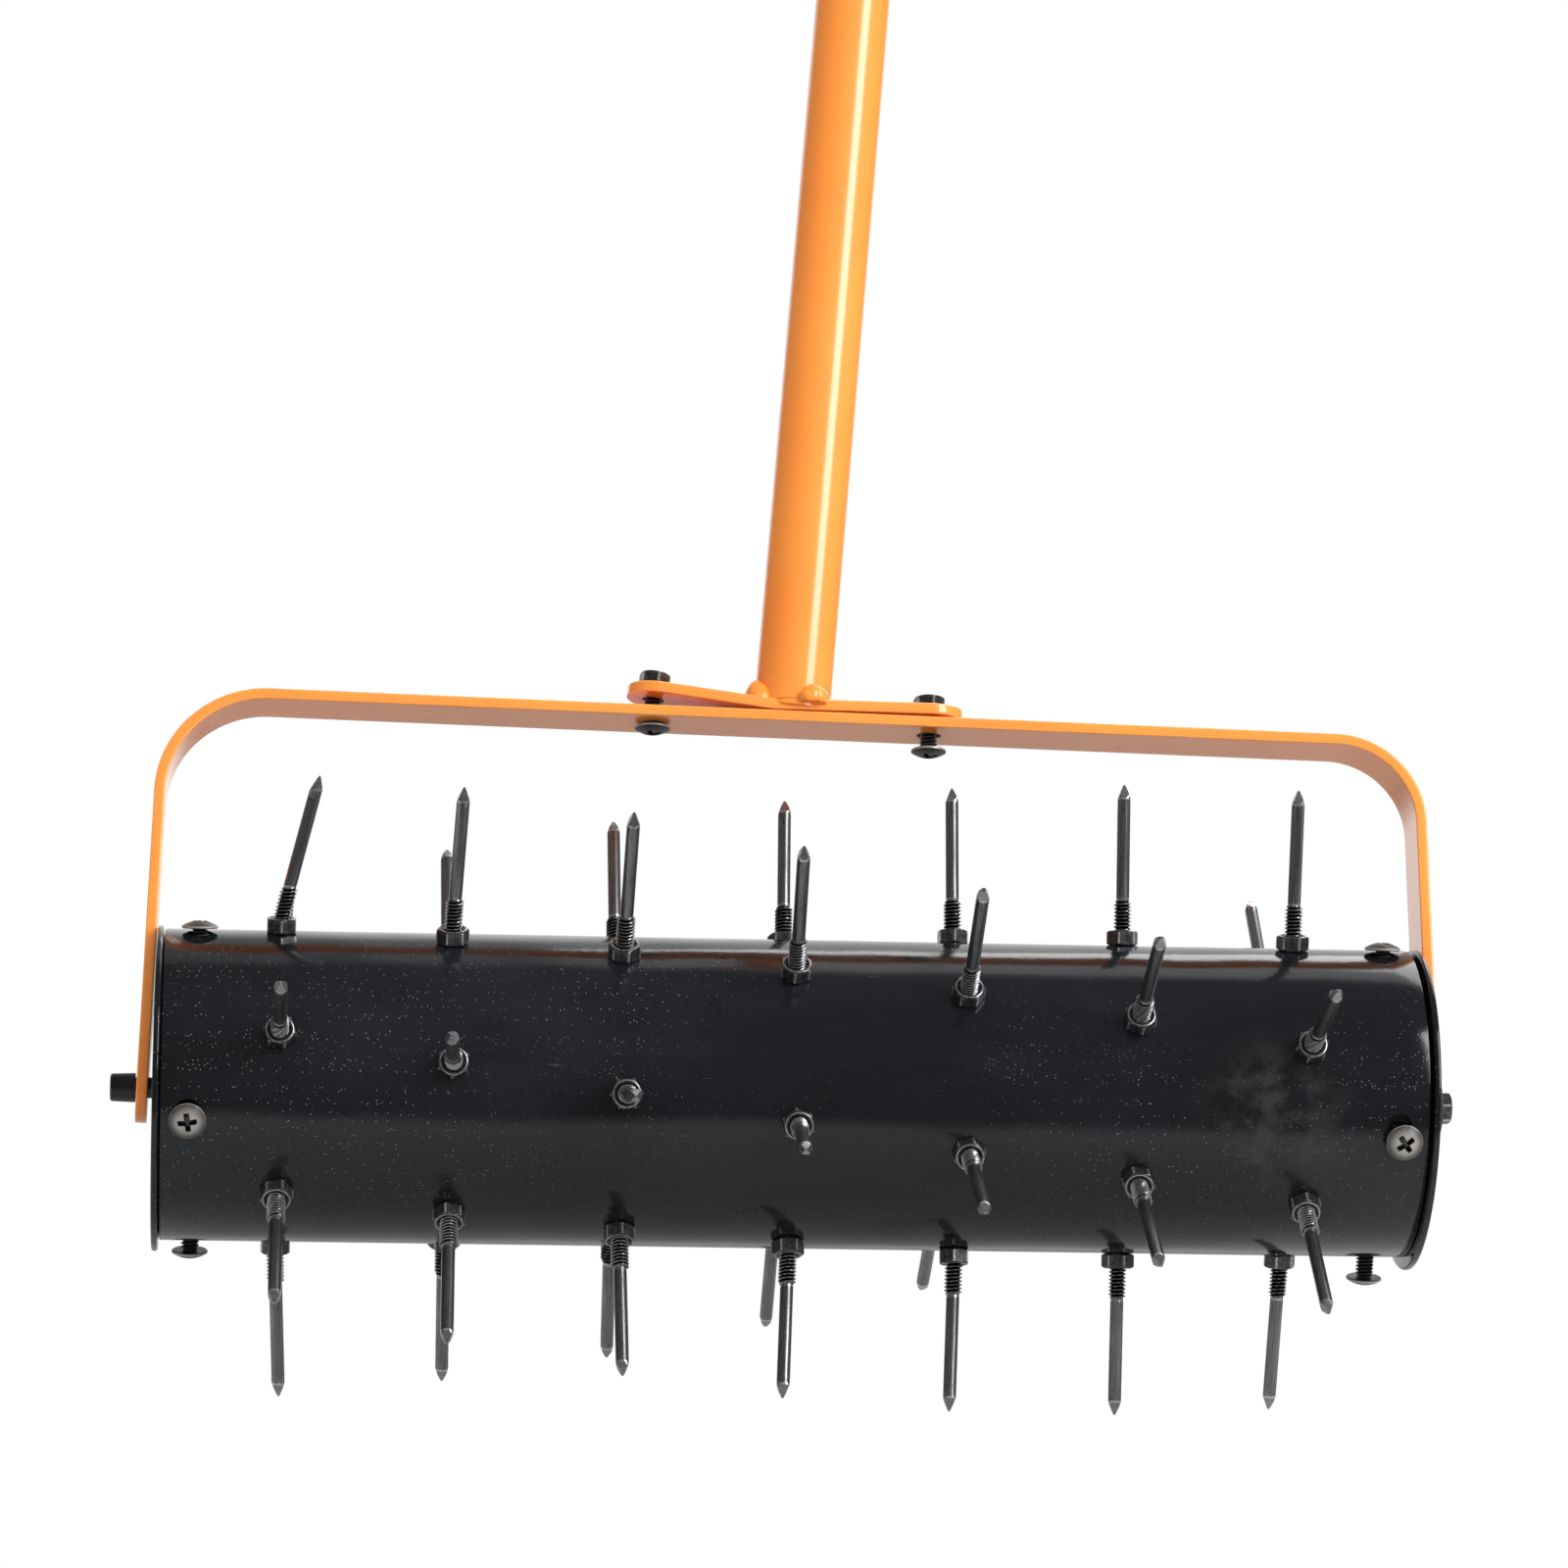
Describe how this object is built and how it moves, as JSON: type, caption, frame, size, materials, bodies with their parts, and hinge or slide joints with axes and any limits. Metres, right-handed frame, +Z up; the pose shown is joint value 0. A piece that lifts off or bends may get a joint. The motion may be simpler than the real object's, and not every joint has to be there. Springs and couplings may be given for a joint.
{
  "type": "rolling spike aerator",
  "caption": "Push-along lawn aerator: a black steel drum set with pointed spikes turns on an axle bolt in an orange flat-bar yoke below a long tube handle with a cross bar and grips",
  "frame": {"origin": "centre of the bounding box on the ground, under the lowest spikes", "axes": "+Z up, +X along the axle to the viewer's right, +Y away from the viewer"},
  "size_m": [0.4388, 0.1818, 1.267],
  "materials": {
    "orange_paint": "glossy orange powder coat with a faint orange peel",
    "black_paint": "glossy black powder coat with pale dust specks",
    "dark_steel": "dark gunmetal plating with brighter ground points",
    "black_screw": "black nickel plating, semi gloss",
    "black_nylon": "smooth black moulded nylon",
    "grip_rubber": "matte black moulded rubber"
  },
  "bodies": {
    "frame": {"yoke": "orange_paint", "axle_bolt": "black_screw", "axle_washer": "black_screw", "axle_sleeve_nut": "black_nylon", "handle_base": "orange_paint", "base_screw_left": "black_screw", "base_screw_right": "black_screw", "middle_tube": "orange_paint", "handle_bolt_lower": "black_screw", "t_handle": "orange_paint", "handle_bolt_upper": "black_screw", "grip_left": "grip_rubber", "grip_right": "grip_rubber"},
    "drum": {"drum_tube": "black_paint", "end_cap_left": "black_paint", "end_cap_right": "black_paint", "hub_bush_left": "black_nylon", "hub_bush_right": "black_nylon", "spike_a1": "dark_steel", "spike_a2": "dark_steel", "spike_a3": "dark_steel", "spike_a4": "dark_steel", "spike_a5": "dark_steel", "spike_a6": "dark_steel", "spike_a7": "dark_steel", "spike_b1": "dark_steel", "spike_b2": "dark_steel", "spike_b3": "dark_steel", "spike_b4": "dark_steel", "spike_b5": "dark_steel", "spike_b6": "dark_steel", "spike_b7": "dark_steel", "spike_c1": "dark_steel", "spike_c2": "dark_steel", "spike_c3": "dark_steel", "spike_c4": "dark_steel", "spike_c5": "dark_steel", "spike_c6": "dark_steel", "spike_c7": "dark_steel", "spike_d1": "dark_steel", "spike_d2": "dark_steel", "spike_d3": "dark_steel", "spike_d4": "dark_steel", "spike_d5": "dark_steel", "spike_d6": "dark_steel", "spike_d7": "dark_steel", "spike_e1": "dark_steel", "spike_e2": "dark_steel", "spike_e3": "dark_steel", "spike_e4": "dark_steel", "spike_e5": "dark_steel", "spike_e6": "dark_steel", "spike_e7": "dark_steel", "spike_f1": "dark_steel", "spike_f2": "dark_steel", "spike_f3": "dark_steel", "spike_f4": "dark_steel", "spike_f5": "dark_steel", "spike_f6": "dark_steel", "spike_f7": "dark_steel"}
  },
  "joints": [
    {"name": "drum_spin", "type": "hinge", "parent": "frame", "child": "drum", "pos_m": [-0.02462, -0.00002, 0.08974], "axis": [1, 0, 0], "continuous": true}
  ]
}
